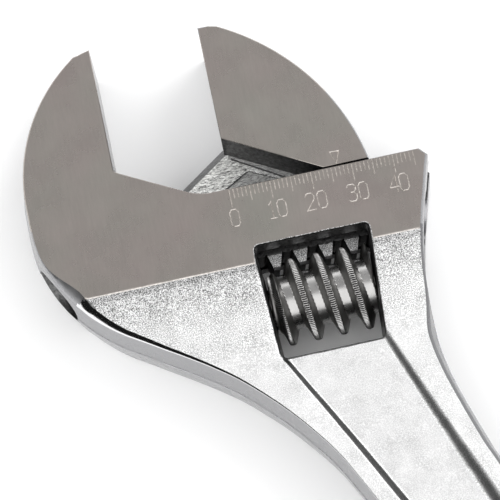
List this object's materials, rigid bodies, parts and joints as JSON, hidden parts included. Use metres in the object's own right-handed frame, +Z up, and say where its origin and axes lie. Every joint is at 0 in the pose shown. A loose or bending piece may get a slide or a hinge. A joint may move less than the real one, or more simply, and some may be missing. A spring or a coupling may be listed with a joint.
{
  "type": "adjustable wrench",
  "caption": "Adjustable wrench: forged handle with fixed jaw, sliding jaw on a round rack bar, and a worm in a through window that opens and closes the mouth.",
  "frame": {"origin": "under the middle of the whole wrench's box, on the plane of its back face", "axes": "+X the way the jaw opens, away from the fixed jaw; +Y out of the mouth; +Z up from the back face"},
  "size_m": [0.19, 0.348, 0.021],
  "materials": {
    "chromed_forging": "satin chrome, fine grained as forged, ground matt on the head's faces",
    "chromed_jaw": "satin chrome, ground matt on the faces",
    "worm_steel": "polished, oiled dark steel with a fine knurl",
    "pin_steel": "turned",
    "spring_steel": "drawn wire"
  },
  "bodies": {
    "handle_and_fixed_jaw": {"forged_body": "chromed_forging", "worm_pin": "pin_steel", "worm_spring": "spring_steel"},
    "sliding_jaw": {"movable_jaw": "chromed_jaw"},
    "worm": {"adjusting_worm": "worm_steel"}
  },
  "joints": [
    {"name": "jaw_slide", "type": "slide", "parent": "handle_and_fixed_jaw", "child": "sliding_jaw", "axis": [1, 0, 0], "range_m": [-0.0266, 0.0171]},
    {"name": "worm_spin", "type": "hinge", "parent": "handle_and_fixed_jaw", "child": "worm", "pos_m": [-0.0412, 0.10252, 0.0105], "axis": [1, 0, 0], "range_deg": [-985, 1530]}
  ],
  "couplings": [
    {"joint": "worm_spin", "follows": "jaw_slide", "rad_per_m": -1000}
  ]
}
